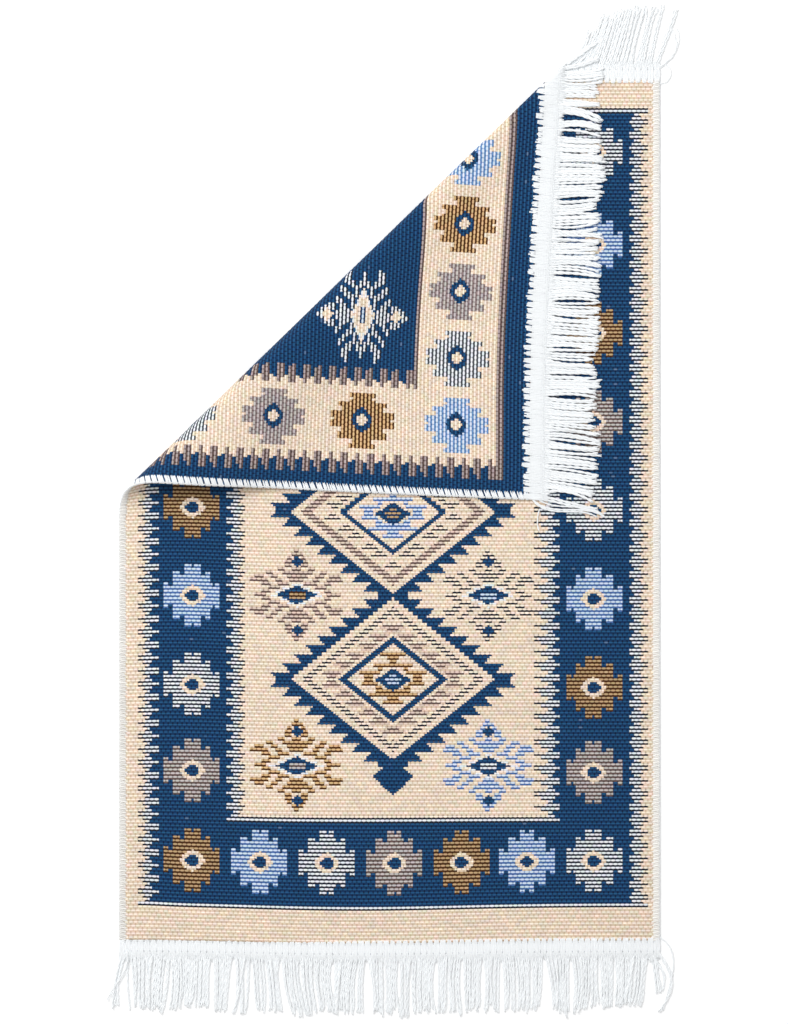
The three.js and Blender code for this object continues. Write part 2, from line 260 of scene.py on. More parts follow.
# Yarn pairs of the weave by number
CREAM, NAVY, GOLD, BLUE, TAUPE, INK, LINE, WHITE_TOOTH, SKY_BAR, GOLD_BAR, BROWN_BACK = range(11)
PALE_GOLD, PALE_BLUE, PALE_TAUPE, WHITE_RING, EDGE_LINE, SHORT_LINE, SHORT_TOOTH = range(11, 18)
BLUE_BACK, TAUPE_BACK, INK_BACK = range(18, 21)
# The pick that stands up, the one in the furrow, and the pair that the back shows behind this one
Pair = namedtuple("Pair", "high low behind")
YARN_PAIRS = {
    CREAM: Pair("cream", "cream_shaded", NAVY),
    NAVY: Pair("navy", "navy_shaded", CREAM),
    GOLD: Pair("gold", "gold_low", PALE_GOLD),
    BLUE: Pair("blue", "blue_low", BLUE_BACK),
    TAUPE: Pair("taupe", "taupe_low", TAUPE_BACK),
    INK: Pair("white", "ink", INK_BACK),
    LINE: Pair("cream", "ink", INK),
    WHITE_TOOTH: Pair("white", "ink", BROWN_BACK),
    SKY_BAR: Pair("blue", "navy_shaded", SKY_BAR),
    GOLD_BAR: Pair("gold", "navy_shaded", GOLD_BAR),
    BROWN_BACK: Pair("taupe_back", "taupe_low", BROWN_BACK),
    PALE_GOLD: Pair("gold_pale", "gold_low", GOLD),
    PALE_BLUE: Pair("blue_pale", "blue_low", BLUE),
    PALE_TAUPE: Pair("taupe_pale", "taupe_low", TAUPE),
    WHITE_RING: Pair("cream", "white", WHITE_RING),
    EDGE_LINE: Pair("cream", "ink", BROWN_BACK),
    SHORT_LINE: Pair("cream", "ink", NAVY),
    SHORT_TOOTH: Pair("white", "ink", NAVY),
    BLUE_BACK: Pair("blue_pale", "blue_soft", BLUE_BACK),
    TAUPE_BACK: Pair("taupe", "taupe_soft", TAUPE_BACK),
    INK_BACK: Pair("white", "ink_soft", INK_BACK),
}
# What a pair looks like where it lies in the cream
ON_CREAM = {GOLD: PALE_GOLD, BLUE: PALE_BLUE, TAUPE: PALE_TAUPE, INK: LINE}
# Pairs that a face value can tell apart, and half columns whose pairs one face's four values hold
PAIR_STEPS = 32
BLOCK = 4
# Where the two picks of a rib lie in it, seen from the front and from the back
FRONT_PICKS, BACK_PICKS = (0.68, 0.2), (0.32, 0.8)

# Bands of the pattern, in ribs from the bottom end and columns from the left edge
FIELD_RIBS = (33, 202)
BAND_RIBS = (10, 225)
COMB_PERIOD = 7
COMB_REACH = 7
# Where the pale picks beside a dark tooth start, in columns past its end
PALE_START = 0.8
# Kinds of teeth, and the kind of each rib's tooth in a period
LONG, MIDDLING, SHORT = range(3)
WHITE_STEPS = (LONG, LONG, SHORT, MIDDLING, LONG, MIDDLING, SHORT)
DARK_STEPS = (LONG, MIDDLING, SHORT, LONG, LONG, MIDDLING, SHORT)
# Where dark and white teeth of each kind end, where the period starts, and on which side of the comb
# the navy lies: 1 for the right, -1 for the left
Comb = namedtuple("Comb", "dark white phase side")
COMBS = (
    Comb((4.2, 4.9, 5.5), (8.5, 7.2, 6.5), 2, 1),
    Comb((27.1, 26.4, 25.8), (23.0, 24.1, 24.7), 1, -1),
    Comb((89.0, 90.6, 91.9), (94.4, 93.6, 93.0), 1, 1),
    Comb((113.4, 112.5, 111.8), (109.3, 110.2, 110.7), 1, -1),
)

# Half sizes of a form, across in columns and along in ribs
Form = namedtuple("Form", "across along")

# Rosettes: half width of each rib from the middle out, and the gaps in some of these ribs
ROSETTE_WIDTHS = (6.0, 6.0, 6.0, 6.0, 4.0, 4.0, 4.0, 1.6, 1.6)
ROSETTE_GAPS = {3: (4.1, 5.0), 6: (1.7, 2.7), 8: (0, 0.3)}
ROSETTE_CREAM = Form(2.7, 2.8)
ROSETTE_EYE, ROSETTE_EYE_BACK = Form(1.6, 1.65), Form(1.35, 1.45)
ROSETTE_EYE_RISE = 0.45
END_COLUMNS = (15.7, 30.2, 44.6, 59.1, 73.4, 87.5, 101.8)
BOTTOM_ROSETTES = (GOLD, BLUE, INK, TAUPE, GOLD, BLUE, INK)
TOP_ROSETTES = (BLUE, INK, TAUPE, GOLD, BLUE, TAUPE, INK)
LEFT_ROSETTES = (GOLD, TAUPE, INK, BLUE, GOLD, INK, TAUPE, GOLD, BLUE)
RIGHT_ROSETTES = (INK, TAUPE, GOLD, BLUE, INK, TAUPE, GOLD, BLUE, INK)
SIDE_RIBS = (21, 45, 68, 92, 116, 140, 164, 188, 213)

# Stars: dark dashes of each rib from the middle out, in columns to either side
STAR_DASHES = (
    ((6.6, 9.3),),
    ((5.8, 7.6),),
    ((3.7, 6.2),),
    ((1.6, 4.2), (5.8, 7.6)),
    ((0.0, 1.4), (3.2, 4.8), (6.3, 9.9)),
    ((0.0, 2.2), (4.0, 5.7), (7.0, 9.3)),
    ((0.0, 3.3), (5.0, 6.6)),
    ((0.0, 0.9), (2.5, 4.0)),
    ((1.1, 2.6),),
    ((0.9, 2.6),),
    ((0.9, 1.9),),
    ((0.0, 1.2),),
    ((0.0, 0.5),),
)
STAR_EYE, STAR_KNOB, STAR_BAR = Form(4.6, 2.6), Form(1.45, 1.6), Form(1.7, 0.85)
# The pale ring round a star's eye, as a share of the eye, and where its two knobs lie
STAR_RING = 1.32
STAR_KNOB_RISE, STAR_KNOB_AWAY = 0.2, 9.3
Star = namedtuple("Star", "column rib eye pair bar")
STARS = (
    Star(38.1, 47, 47.2, GOLD, TAUPE),
    Star(79.2, 47, 47.2, BLUE, INK),
    Star(38.1, 93, 93.5, TAUPE, GOLD),
    Star(79.2, 93, 93.5, INK, SKY_BAR),
    Star(38.1, 140, 140.3, BLUE, INK),
    Star(79.2, 140, 140.3, GOLD, TAUPE),
    Star(38.1, 187, 187.3, INK, SKY_BAR),
    Star(79.2, 187, 187.3, TAUPE, GOLD),
)

# Diamonds: rings by their distance from the middle, in ribs, and the hatching round the eye
MIDDLE_COLUMN = 58.75
Diamond = namedtuple("Diamond", "rib teeth eye outer inner hatch bar")
DIAMONDS = (
    Diamond(70.7, 70.44, 71, INK, TAUPE, GOLD, SKY_BAR),
    Diamond(116.0, 116.44, 116, TAUPE, INK, BLUE, GOLD_BAR),
    Diamond(161.6, 161.94, 162, INK, TAUPE, GOLD, SKY_BAR),
)
DIAMOND_EDGE, DIAMOND_BORDER = 22.0, 1.5
OUTER_RING, NAVY_RING = (17.5, 19.8), (9.9, 11.7)
INNER_LONG, INNER_SHORT = (12.8, 16.7), (12.8, 14.7)
# Teeth along a diamond's edge: rib of the first tip, ribs from tip to tip, reach of the middle one,
# columns lost at each step, and how far a tooth draws in for each rib under its tip
Teeth = namedtuple("Teeth", "start ribs reach columns lean")
TEETH = Teeth(1.81, 2.5, 26.3, 2.49, 0.79)
HATCH_ABOVE = ((4.1, 6.5), (2.9, 7.4), (2.1, 3.5), (0.0, 4.4), (0.0, 0.6), (0.0, 1.3), (0.0, 2.7))
HATCH_BELOW = ((4.1, 6.5), (3.1, 6.9), (2.2, 3.6), (0.0, 3.9), (0.0, 5.2), (0.0, 1.1), (0.0, 2.5))
DIAMOND_EYE = Form(3.95, 3.1)
EYE_BARS = (1.5, 1.95, 0.6)
# Knots join the outer diamonds to the field's ends
KNOT_RIBS, KNOT = (44.4, 186.6), Form(4.5, 5.1)
JOIN_HALF_WIDTH = 3.5


def within(values, low, high):
    """Which values lie from low up to high."""
    return (values >= low) & (values < high)


def between(values, low, high):
    """Which values lie between low and high and are neither."""
    return (values > low) & (values < high)


class Chart:
    """The pattern of one face as yarn pairs: those of a rib's two picks for each half column."""

    def __init__(self, cloth, picks, eye):
        self.eye = eye
        self.rib = np.broadcast_to(np.arange(cloth.ribs)[:, None], (2, cloth.ribs, 2 * cloth.columns))
        self.column = np.broadcast_to((np.arange(2 * cloth.columns) + 0.5) / 2, self.rib.shape)
        self.level = self.rib + np.array(picks)[:, None, None]
        self.high = np.array((True, False))[:, None, None]
        self.pairs = np.full(self.column.shape, CREAM)

    def put(self, where, pair):
        self.pairs[where] = pair

    def oval(self, column, level, size):
        """One at the edge of a slightly pointed oval round a point, less inside it."""
        across = np.abs(self.column - column) / size.across
        along = np.abs(self.level - level) / size.along
        return across**1.4 + along**1.4

    def lens(self, column, level, size):
        """One at the edge of a lozenge round a point, less inside it."""
        return np.abs(self.column - column) / size.across + np.abs(self.level - level) / size.along

    def bands(self):
        """The navy band round the field, its lines and its combs."""
        low, high = BAND_RIBS
        first, left, right, last = COMBS
        band, field = within(self.rib, low, high), within(self.rib, *FIELD_RIBS)
        self.put(band, NAVY)
        self.put(field & within(self.column, left.white[SHORT], right.dark[SHORT]), CREAM)
        for comb, rows in zip(COMBS, (band, field, field, band)):
            self.comb(rows, *comb)
        across = within(self.column, first.dark[LONG], last.dark[LONG])
        self.put(~across, CREAM)
        self.put(across & np.isin(self.rib, (low - 1, high - 1)), WHITE_TOOTH)
        self.put(across & (self.rib == high), EDGE_LINE)
        inside = within(self.column, left.white[LONG], right.white[LONG])
        self.put(inside & np.isin(self.rib, (FIELD_RIBS[0] - 1, FIELD_RIBS[1])), WHITE_TOOTH)
        middle = within(self.column, left.dark[SHORT], right.dark[SHORT])
        self.put(middle & (self.rib == FIELD_RIBS[0]), EDGE_LINE)

    def comb(self, rows, dark, white, phase, side):
        """Dark teeth that point into the cream and white ones that point into the navy."""
        place = side * self.column
        dark_end, dark_kind = self.teeth(0, phase, DARK_STEPS, dark)
        dark_above, _ = self.teeth(1, phase, DARK_STEPS, dark)
        white_end, white_kind = self.teeth(0, phase, WHITE_STEPS, white)
        middle = side * (dark[SHORT] + white[SHORT]) / 2
        rows = rows & (np.abs(place - middle) < COMB_REACH)
        inner, outer = rows & (place < middle), rows & (place >= middle)
        self.put(inner, CREAM)
        self.put(outer, NAVY)
        pale = self.high & (place > side * (dark_end + dark_above) / 2 + PALE_START)
        marked = (dark_kind == LONG) | (white_kind == LONG)
        for chosen, line, tooth in ((marked, EDGE_LINE, WHITE_TOOTH), (~marked, SHORT_LINE, SHORT_TOOTH)):
            self.put(inner & chosen & (place > side * dark_end), line)
            self.put(inner & chosen & pale, tooth)
            self.put(outer & chosen & (place < side * white_end), tooth)

    def teeth(self, ahead, phase, kinds, ends):
        """Where the tooth of each rib, or of one ahead of it, ends, and which kind it is."""
        kind = np.array(kinds)[(phase - self.rib - ahead) % COMB_PERIOD]
        return np.array(ends)[kind], kind

    def rosette(self, column, rib, pair):
        away, up = np.abs(self.column - column), np.abs(self.rib - rib)
        for number, width in enumerate(ROSETTE_WIDTHS):
            gap = ROSETTE_GAPS.get(number, (width, width))
            self.put((up == number) & (away < width) & ~within(away, *gap), pair)
        for size, filling in ((ROSETTE_CREAM, CREAM), (self.eye, NAVY)):
            self.put(self.oval(column, rib + ROSETTE_EYE_RISE, size) < 1, filling)

    def star(self, column, rib, eye, pair, bar):
        away, up = np.abs(self.column - column), np.abs(self.rib - rib)
        for number, dashes in enumerate(STAR_DASHES):
            for dash in dashes:
                self.put((up == number) & within(away, *dash), ON_CREAM[pair])
        for side in (-1, 1):
            knob = rib + STAR_KNOB_RISE + side * STAR_KNOB_AWAY
            self.put(self.lens(column, knob, STAR_KNOB) < 1, NAVY)
        lens = self.lens(column, eye, STAR_EYE)
        self.put(lens < STAR_RING, WHITE_RING)
        self.put(lens < 1, NAVY)
        self.put((np.abs(self.level - eye) < STAR_BAR.along) & (away < STAR_BAR.across), bar)

    def tips(self, up):
        """For each level over a diamond's middle, how many teeth lie below it and where the next tip is."""
        number = np.ceil((up - TEETH.start) / TEETH.ribs).clip(0, None)
        return number, TEETH.start + number * TEETH.ribs

    def diamond(self, rib, teeth, eye, outer, inner, hatch, bar):
        away = np.abs(self.column - MIDDLE_COLUMN)
        up = np.abs(self.level - teeth)
        number, tip = self.tips(up)
        reach = TEETH.reach - number * TEETH.columns - TEETH.lean * (tip - up)
        reach = np.where(up > DIAMOND_EDGE, JOIN_HALF_WIDTH, reach)
        self.put((away < reach) & (up < DIAMOND_EDGE + DIAMOND_BORDER), NAVY)
        up = np.abs(self.level - rib)
        ring = away + up
        self.put(ring < DIAMOND_EDGE, CREAM)
        self.put(between(ring, *OUTER_RING), ON_CREAM[outer])
        under_tip = self.tips(up - 0.5)[1] - up
        self.put((under_tip < 0.5) & between(ring, *INNER_LONG), ON_CREAM[inner])
        self.put(within(under_tip, 0.5, 1.5) & between(ring, *INNER_SHORT), ON_CREAM[inner])
        self.put(between(ring, *NAVY_RING), NAVY)
        for side, rows in ((1, HATCH_ABOVE), (-1, HATCH_BELOW)):
            for number, dash in enumerate(rows):
                here = (self.rib + 0.5 - eye) * side == number + 0.5
                self.put(here & within(away, *dash), ON_CREAM[hatch])
        self.put(self.lens(MIDDLE_COLUMN, eye - 0.5, DIAMOND_EYE) < 1, NAVY)
        for number, half in enumerate(EYE_BARS):
            self.put(self.high & (self.rib == eye - 2 + number) & (away < half), bar)

    def fill(self):
        self.bands()
        for diamond in DIAMONDS:
            self.diamond(*diamond)
        for rib in KNOT_RIBS:
            self.put(self.lens(MIDDLE_COLUMN, rib, KNOT) < 1, NAVY)
        for star in STARS:
            self.star(*star)
        for rib, left, right in zip(SIDE_RIBS, LEFT_ROSETTES, RIGHT_ROSETTES):
            self.rosette(END_COLUMNS[0], rib, left)
            self.rosette(END_COLUMNS[-1], rib, right)
        for rib, row in ((SIDE_RIBS[0], BOTTOM_ROSETTES), (SIDE_RIBS[-1], TOP_ROSETTES)):
            for column, pair in zip(END_COLUMNS[1:-1], row[1:-1]):
                self.rosette(column, rib, pair)
        return self.pairs


class Shape:
    """Gathers the points, faces, map places and face values of one piece."""

    def __init__(self):
        self.points, self.faces, self.places, self.values = [], [], [], []
        self.count = 0

    def add(self, points, faces, places, values):
        """Faces hold numbers of these points, and each has as many map places as corners."""
        self.points.append(np.asarray(points).reshape(-1, 3))
        self.faces.extend((np.asarray(face) + self.count).tolist() for face in faces)
        self.places.extend(np.asarray(place) for place in places)
        self.values.append(np.asarray(values).reshape(-1, 4))
        self.count += len(self.points[-1])

    def build(self, name, material):
        """The piece as an object with a map named weave and face values named yarn."""
        mesh = bpy.data.meshes.new(name)
        mesh.from_pydata(np.concatenate(self.points).tolist(), [], self.faces)
        places = mesh.uv_layers.new(name="weave")
        places.data.foreach_set("uv", np.concatenate(self.places).astype(np.float32).ravel())
        values = mesh.attributes.new("yarn", "FLOAT_COLOR", "FACE")
        values.data.foreach_set("color", np.concatenate(self.values).astype(np.float32).ravel())
        mesh.shade_smooth()
        mesh.materials.append(material)
        piece = bpy.data.objects.new(name, mesh)
        bpy.context.scene.collection.objects.link(piece)
        return piece


def finish_piece(piece, node):
    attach(piece, "root")
    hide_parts(node)


def sides_of(lines, reference):
    """Two directions square to lines of points, the first one square to the reference too."""
    tangent = normalised(np.gradient(lines, axis=1))
    side = normalised(np.cross(np.broadcast_to(reference, lines.shape), tangent))
    return side, np.cross(tangent, side)


def add_tubes(shape, lines, radii, sides, reference, values):
    """Closed tubes round lines of points, of which none runs along the reference direction."""
    count, steps = lines.shape[:2]
    side, rise = sides_of(lines, reference)
    turn = 2 * math.pi * np.arange(sides) / sides
    around = side[:, :, None] * np.cos(turn)[:, None] + rise[:, :, None] * np.sin(turn)[:, None]
    points = lines[:, :, None] + np.broadcast_to(radii, (count, steps))[:, :, None, None] * around
    number = np.arange(count * steps * sides).reshape(count, steps, sides)
    following = np.roll(number, -1, axis=2)
    walls = np.stack((number[:, :-1], following[:, :-1], following[:, 1:], number[:, 1:]), axis=-1)
    lengths = np.linalg.norm(np.diff(lines, axis=1), axis=-1)
    run = np.concatenate((np.zeros((count, 1)), np.cumsum(lengths, axis=1)), axis=1)
    low, high = (np.broadcast_to(part[:, :, None], walls.shape[:3]) for part in (run[:, :-1], run[:, 1:]))
    start = np.broadcast_to(np.arange(sides) / sides, low.shape)
    end = start + 1 / sides
    places = np.stack((start, low, end, low, end, high, start, high), axis=-1).reshape(-1, 4, 2)
    caps = np.concatenate((number[:, 0, ::-1], number[:, -1]))
    faces = [*walls.reshape(-1, 4), *caps]
    places = [*places, *([np.zeros((sides, 2))] * len(caps))]
    wall_values = np.repeat(values, (steps - 1) * sides, axis=0)
    shape.add(points, faces, places, np.concatenate((wall_values, values, values)))


class Wire:
    """A socket of a material's nodes that takes part in Python expressions."""

    def __init__(self, finish, socket):
        self.finish, self.socket = finish, socket

    def math(self, operation, *others):
        return self.finish.node("Math", {"operation": operation}, dict(enumerate((self, *others))))

    def __add__(self, other):
        return self.math("ADD", other)

    __radd__ = __add__

    def __sub__(self, other):
        return self.math("SUBTRACT", other)

    def __rsub__(self, other):
        return self.math("MULTIPLY_ADD", -1.0, other)

    def __mul__(self, other):
        return self.math("MULTIPLY", other)

    def __truediv__(self, other):
        return self.math("DIVIDE", other)

    def __pow__(self, other):
        return self.math("POWER", other)

    def floor(self):
        return self.math("FLOOR")

    def part(self):
        return self.math("FRACT")

    def size(self):
        return self.math("ABSOLUTE")

    def sine(self):
        return self.math("SINE")

    def most(self, other):
        return self.math("MAXIMUM", other)

    def near(self, value):
        return self.math("COMPARE", value, 0.5)

    def rest(self, divisor):
        return self.math("FLOORED_MODULO", divisor)

    def soft_step(self, low, high):
        inputs = {"Value": self, "From Min": low, "From Max": high}
        return self.finish.node("MapRange", {"interpolation_type": "SMOOTHSTEP"}, inputs)


class Finish:
    """A material whose nodes are made by expressions."""

    def __init__(self, name):
        self.material = bpy.data.materials.new(name)
        self.material.use_nodes = True
        self.tree = self.material.node_tree
        self.tree.nodes.clear()

    def node(self, kind, settings=None, inputs=None, output=0):
        """A node's output as a wire. Settings come first, then the values or links of its sockets."""
        made = self.tree.nodes.new("ShaderNode" + kind)
        for name, value in (settings or {}).items():
            if name == "stops":
                ramp = made.color_ramp
                while len(ramp.elements) < len(value):
                    ramp.elements.new(1.0)
                for element, (position, colour) in zip(ramp.elements, value):
                    element.position = position
                    element.color = (*colour, 1.0)
            elif name == "interpolation":
                made.color_ramp.interpolation = value
            else:
                setattr(made, name, value)
        for name, value in (inputs or {}).items():
            if isinstance(value, Wire):
                self.tree.links.new(value.socket, made.inputs[name])
            else:
                made.inputs[name].default_value = value
        return Wire(self, made.outputs[output])

    def outputs(self, wire, *names):
        """Other outputs of the node that a wire comes from."""
        return [Wire(self, wire.socket.node.outputs[name]) for name in names]

    def map_place(self):
        """Where a point lies on the map that every piece has, across and along."""
        place = self.node("UVMap", {"uv_map": "weave"})
        return self.outputs(self.node("SeparateXYZ", None, {0: place}), "X", "Y")

    def face_values(self):
        """The four values that every face has."""
        colour, fourth = self.outputs(self.node("Attribute", {"attribute_name": "yarn"}), "Color", "Alpha")
        return *self.outputs(self.node("SeparateColor", None, {0: colour}), "Red", "Green", "Blue"), fourth

    def blend(self, factor, first, second):
        return self.node("Mix", {"data_type": "RGBA"}, {0: factor, 6: first, 7: second}, 2)

    def mixed(self, operation, *colours):
        return self.node("VectorMath", {"operation": operation}, dict(enumerate(colours)))

    def dimmed(self, colour, factor):
        return self.node("VectorMath", {"operation": "SCALE"}, {0: colour, "Scale": factor})

    def vector(self, x, y, z=0.0):
        return self.node("CombineXYZ", None, {0: x, 1: y, 2: z})

    def surface(self, colour, roughness, height, depth, sheen, softness=0.0, glow=0.0):
        """Ends the material in a cloth-like surface with a bump of this depth."""
        normal = self.node("Bump", None, {"Height": height, "Distance": depth, "Strength": 1.0})
        inputs = {
            "Base Color": colour,
            "Roughness": roughness,
            "Normal": normal,
            "Specular IOR Level": 0.15,
            "Sheen Weight": sheen,
            "Sheen Roughness": 0.6,
            "Subsurface Weight": softness,
            "Subsurface Radius": (1.0, 1.0, 1.0),
            "Subsurface Scale": mm(2.5),
            "Emission Color": (0.96, 0.98, 1.0, 1.0),
            "Emission Strength": glow,
        }
        self.node_output(self.node("BsdfPrincipled", None, inputs))
        return self.material

    def node_output(self, surface):
        made = self.tree.nodes.new("ShaderNodeOutputMaterial")
        self.tree.links.new(surface.socket, made.inputs["Surface"])


def weave_finish(colours):
    """Two picks for each rib, whose floats lie like bricks, in the pairs that the face values number."""
    finish = Finish("kilim_weave")
    half, rib = finish.map_place()
    row = rib.floor()
    up = rib - row
    odd = row.rest(2)
    along = (half - odd) * 0.5
    brick = along.floor()
    beside = along - brick
    beside_low = ((half + odd - 1) * 0.5).part()

    red, green, blue, fourth = finish.face_values()
    number = ((half * (1 / BLOCK)).part() * BLOCK).floor()
    code = red * number.near(0) + green * number.near(1) + blue * number.near(2) + fourth * number.near(3)

    def ramp(side, position):
        """The colours of the standing picks (0) or of those in the furrow (1)."""
        stops = [(pair / PAIR_STEPS, getattr(colours, names[side])) for pair, names in YARN_PAIRS.items()]
        return finish.node("ValToRGB", {"stops": stops, "interpolation": "CONSTANT"}, {0: position})

    def standing(beside, middle, half_height):
        """How far a float stands up: one along its middle, nothing at its rim."""
        wide = (beside - 0.5).size() * 2
        tall = (up - middle) / half_height
        return (1 - wide**3.2 - tall * tall).most(0)

    def noise(across, along, detail, output=0):
        inputs = {"Vector": finish.vector(half * across, rib * along), "Scale": 1.0, "Detail": detail}
        return finish.node("TexNoise", {"noise_dimensions": "2D"}, inputs, output)

    def toned(colour, hue, strength):
        """A colour whose channels each vary by this share of it."""
        factor = finish.mixed("MULTIPLY_ADD", hue, (strength,) * 3, (1 - strength / 2,) * 3)
        return finish.mixed("MULTIPLY", colour, factor)

    high_colour, low_colour = ramp(0, (code * PAIR_STEPS).part()), ramp(1, code)
    high_float, low_float = standing(beside, 0.7, 0.29), standing(beside_low, 0.2, 0.31)
    cover = (high_float - low_float).soft_step(-0.12, 0.12)
    spot = finish.vector(brick, row)
    chance = finish.node("TexWhiteNoise", {"noise_dimensions": "2D"}, {"Vector": spot})
    own_hue = finish.outputs(chance, "Color")[0]
    slow = noise(0.04, 0.09, 3.0)
    fibres = noise(1.1, 9, 3.0)
    height = (high_float**0.5).most(low_float**0.5 * 0.8)
    yarn = finish.blend(cover, low_colour, high_colour)
    yarn = toned(toned(yarn, own_hue, 0.07), noise(0.3, 0.6, 2.0, 1), 0.1)
    # Painted shade: low down between the floats, the colour darkens towards its own square.
    yarn = finish.blend(height.soft_step(0.0, 0.85), finish.mixed("MULTIPLY", yarn, yarn), yarn)
    # The height term is painted shade: lighter on the floats' tops, darker down between them. The other terms
    # vary the yarn's own tone at random.
    shade_and_tone = 0.86 + height * 0.15 + (chance - 0.5) * 0.1 + (slow - 0.5) * 0.1 + (fibres - 0.5) * 0.1
    fleck = chance.soft_step(0.992, 0.996) * high_float * 0.1
    coloured = finish.mixed("ADD", finish.dimmed(yarn, shade_and_tone), fleck)
    return finish.surface(coloured, 0.85 + fibres * 0.1, height + fibres * 0.3, mm(0.4), 0.05)


def yarn_finish(name, colour, white):
    """Soft spun yarn: fibres that wind round each tube, with a tone and a whiteness for each. On the
    heading's core the tone is painted shade.
    """
    finish = Finish(name)
    around, along = finish.map_place()
    tone_and_shade, chance, whiteness, _ = finish.face_values()
    wound = around * 3 + along * 420
    line = finish.vector(wound, along * 60, chance * 40)
    fibres = finish.node("TexNoise", None, {"Vector": line, "Scale": 1.6, "Detail": 4.0})
    strokes = (wound * (2 * math.pi)).sine() * 0.5 + 0.5
    shade_and_tone = tone_and_shade * (0.96 + fibres * 0.08)
    yarn = finish.blend(whiteness, (*colour, 1.0), (*white, 1.0))
    height = fibres * 0.6 + strokes * 0.4
    # The glow is painted light: a faint emission that brightens the yarn beyond what the lamps give.
    return finish.surface(finish.dimmed(yarn, shade_and_tone), 0.9, height, mm(0.06), 0.2, softness=0.3, glow=0.05)


# How far the cloth's rim lies in under the edge threads, the unevenness of its faces, how deep the
# threads press into it, and where in a rib the ridge lies on each face
RIM_INSET, UNEVENNESS, PRESSED_DEPTH = mm(0.6), mm(0.03), mm(0.85)
FRONT_RIDGE, BACK_RIDGE = 0.62, 0.38


class KILIM_OT_cloth(bpy.types.Operator):
    """Weave the cloth: ribs on both faces, with the pattern of each face, folded over at one corner"""

    bl_idname = "kilim.cloth"
    bl_label = "Weave the cloth"
    bl_options = {"REGISTER", "UNDO"}

    fine_roll: number_property("Fine roll", "Roll radius under which faces are narrowest", mm(15), "LENGTH")

    def execute(self, context):
        cloth = context.scene.kilim_cloth
        self.cloth, self.fold = cloth, Fold(cloth)
        self.ribs, self.halves = cloth.ribs, 2 * cloth.columns
        self.rng = np.random.default_rng(7)
        front = self.codes(Chart(cloth, FRONT_PICKS, ROSETTE_EYE).fill())
        behind = np.array([pair.behind for pair in YARN_PAIRS.values()])
        back = self.codes(behind[Chart(cloth, BACK_PICKS, ROSETTE_EYE_BACK).fill()])
        self.shape = Shape()
        upper = self.face_of_cloth(front, FRONT_RIDGE, 1)
        lower = self.face_of_cloth(back, BACK_RIDGE, -1)
        self.rims(upper, lower, front)
        piece = self.shape.build("kilim_cloth", weave_finish(context.scene.kilim_colours))
        finish_piece(piece, "woven_cloth")
        return {"FINISHED"}

    def codes(self, pairs):
        """Both pairs of a half column as one number under 1, in blocks."""
        return (pairs[0] + PAIR_STEPS * pairs[1] + 0.5).reshape(self.ribs, -1, BLOCK) / PAIR_STEPS**2

    def steps(self, levels):
        """Half columns between cuts in each strip of ribs and block."""
        blocks = np.arange(0, self.halves + 1, BLOCK) / self.halves * self.cloth.width
        t = levels / self.ribs * self.cloth.length
        _, past, radius = self.fold.lines(blocks[None, :], t[:, None])
        corners = [past[:-1, :-1], past[1:, :-1], past[:-1, 1:], past[1:, 1:]]
        radius = radius[:-1, :-1]
        begun = np.maximum.reduce(corners) > 0
        rolled = begun & (np.minimum.reduce(corners) < math.pi * radius + 2 * radius)
        return np.where(rolled, np.where(radius < self.fine_roll, 1, 2), BLOCK)

    def face_of_cloth(self, codes, ridge, side):
        """One face, with a point row at each furrow and at each ridge."""
        levels = np.sort(np.concatenate((np.arange(self.ribs + 1), np.arange(self.ribs) + ridge)))
        steps = self.steps(levels)
        used = np.zeros((len(levels), self.halves + 1), bool)
        used[:, ::BLOCK] = True
        for step in (1, 2):
            rows, blocks = np.nonzero(steps == step)
            for offset in range(step, BLOCK, step):
                used[rows, blocks * BLOCK + offset] = True
                used[rows + 1, blocks * BLOCK + offset] = True
        number = np.full(used.shape, -1)
        number[used] = np.arange(used.sum()) + self.shape.count
        row, half = np.nonzero(used)
        points = self.points_of(levels[row], half, side, levels[row] % 1 > 0)
        flip = self.ribs if side < 0 else 0

        faces, places, values = [], [], []
        for strip in range(len(levels) - 1):
            rib = int(levels[strip])
            for block, step in enumerate(steps[strip]):
                for start in range(block * BLOCK, (block + 1) * BLOCK, step):
                    low = [j for j in range(start, start + step + 1) if used[strip, j]]
                    high = [j for j in range(start + step, start - 1, -1) if used[strip + 1, j]]
                    corners = [(strip, j) for j in low] + [(strip + 1, j) for j in high]
                    if side < 0:
                        corners.reverse()
                    faces.append([number[c] - self.shape.count for c in corners])
                    places.append([(j, abs(flip - levels[i])) for i, j in corners])
                    values.append(codes[rib, block])
        self.shape.add(points, faces, places, values)
        return {"levels": levels, "used": used, "number": number}

    def points_of(self, level, half, side, on_ridge):
        """Points of a face. The cloth is thinner under the edge threads."""
        cloth = self.cloth
        s = RIM_INSET + half / self.halves * (cloth.width - 2 * RIM_INSET)
        t = level / self.ribs * cloth.length
        height = cloth.thickness / 2 - np.where(on_ridge, 0, cloth.rib_depth)
        height = height + self.rng.normal(0, UNEVENNESS, len(height))
        edge = np.minimum(s, cloth.width - s) / cloth.edge_width
        pressed = np.clip((1.05 - edge) / 0.2, 0, 1) * PRESSED_DEPTH
        return self.fold.place(s, t, side * (height - pressed))

    def rims(self, upper, lower, codes):
        """Closes the cloth between its faces along all four sides."""
        faces, places, values = [], [], []

        def span(first, last):
            step = 1 if last >= first else -1
            return range(first, last + step, step)

        def chain(face, first, last):
            """Numbers and map places of a face's points from one corner of a cell to the next."""
            (row, half), (to_row, to_half) = first, last
            levels = face["levels"]
            row, to_row = (int(np.searchsorted(levels, level)) for level in (row, to_row))
            cells = [(i, j) for i in span(row, to_row) for j in span(half, to_half)]
            return [(face["number"][c], (c[1], levels[c[0]])) for c in cells if face["used"][c]]

